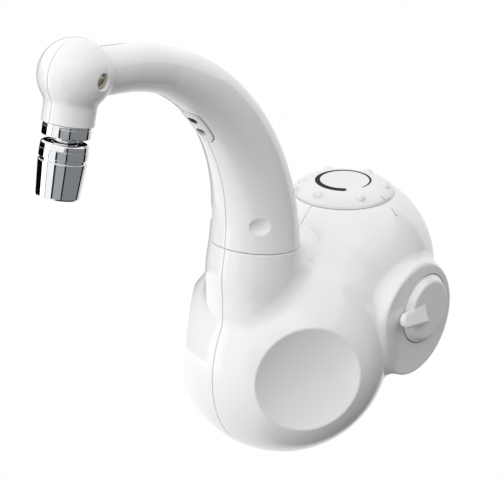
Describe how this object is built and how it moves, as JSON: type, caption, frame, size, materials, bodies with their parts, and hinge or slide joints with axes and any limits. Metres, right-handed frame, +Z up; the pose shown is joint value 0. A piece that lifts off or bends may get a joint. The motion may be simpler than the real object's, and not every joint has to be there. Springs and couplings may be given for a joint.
{
  "type": "electric tap",
  "caption": "Wall-hung electric tap: bulbous white heater body, arched swivel spout, domed temperature knob, side selector lever and ball-jointed outlet cup.",
  "frame": {"origin": "centre of the inlet where it passes the wall face", "axes": "+Z up, +Y into the wall along the inlet, -Y the way the spout reaches, +X the drum's side"},
  "size_m": [0.1276, 0.2909, 0.2835],
  "materials": {
    "white_abs": "high gloss injection moulded ABS",
    "knob_abs": "high gloss injection moulded ABS with a printed scale",
    "lever_abs": "high gloss injection moulded ABS",
    "plate_nylon": "moulded glass-filled nylon",
    "technical_plastic": "moulded glass-filled nylon, matt",
    "light_technical_plastic": "moulded acetal, satin",
    "chrome_plate": "bright chrome plate",
    "turned_brass": "turned",
    "stainless": "satin stainless steel",
    "zinc_screw": "zinc plated steel",
    "black_rubber": "moulded nitrile rubber",
    "hose_silicone": "extruded silicone",
    "circuit_board": "glass-epoxy laminate with solder mask",
    "sensor_black": "infrared-clear dark lens plastic",
    "coil_winding": "taped copper winding"
  },
  "bodies": {
    "body": {"body_shell_right": "white_abs", "body_shell_left": "white_abs", "side_drum": "white_abs", "wall_plate": "plate_nylon", "plate_screws": "zinc_screw", "inlet_spigot": "turned_brass", "inlet_filter": "stainless", "cable_grommet": "black_rubber", "flow_sensor": "technical_plastic", "valve_block": "light_technical_plastic", "solenoid_valve": "technical_plastic", "solenoid_coil": "coil_winding", "heater_tank": "stainless", "tank_lid": "technical_plastic", "heating_rod": "stainless", "thermal_cutout": "stainless", "riser_tube": "hose_silicone", "swivel_socket": "light_technical_plastic", "control_board": "circuit_board", "board_screws": "zinc_screw", "knob_encoder": "technical_plastic", "power_relay": "technical_plastic", "terminal_block": "light_technical_plastic"},
    "knob": {"temp_knob": "knob_abs", "knob_shaft": "stainless"},
    "lever": {"side_lever": "lever_abs", "selector_stem": "light_technical_plastic"},
    "spout": {"spout_shell_right": "white_abs", "spout_shell_left": "white_abs", "swivel_spigot": "light_technical_plastic", "swivel_seals": "black_rubber", "spout_tube": "hose_silicone", "sensor_window": "white_abs", "sensor_lenses": "sensor_black", "sensor_board": "circuit_board", "outlet_adapter": "turned_brass", "head_screw": "zinc_screw", "outlet_collar": "chrome_plate"},
    "outlet_stem": {"ball_stem": "chrome_plate"},
    "outlet_cup": {"cup_cap": "chrome_plate", "cup_body": "chrome_plate", "ball_seat": "light_technical_plastic", "aerator_insert": "light_technical_plastic", "outlet_mesh": "stainless"}
  },
  "joints": [
    {"name": "spout_swivel", "type": "hinge", "parent": "body", "child": "spout", "pos_m": [0, -0.121, 0.0465], "axis": [0, 0.1305, 0.9914], "range_deg": [-60, 60]},
    {"name": "knob_turn", "type": "hinge", "parent": "body", "child": "knob", "pos_m": [0, -0.04, 0.0519], "axis": [0, 0, 1], "range_deg": [0, 300]},
    {"name": "lever_turn", "type": "hinge", "parent": "body", "child": "lever", "pos_m": [0.057, -0.0354, -0.0088], "axis": [1, 0, 0], "range_deg": [0, 90]},
    {"name": "stem_spin", "type": "hinge", "parent": "spout", "child": "outlet_stem", "pos_m": [0, -0.26415, 0.13504], "axis": [0, -0.247, -0.969], "continuous": true},
    {"name": "cup_tilt", "type": "hinge", "parent": "outlet_stem", "child": "outlet_cup", "pos_m": [0, -0.26415, 0.13504], "axis": [1, 0, 0], "range_deg": [-12, 12]}
  ]
}
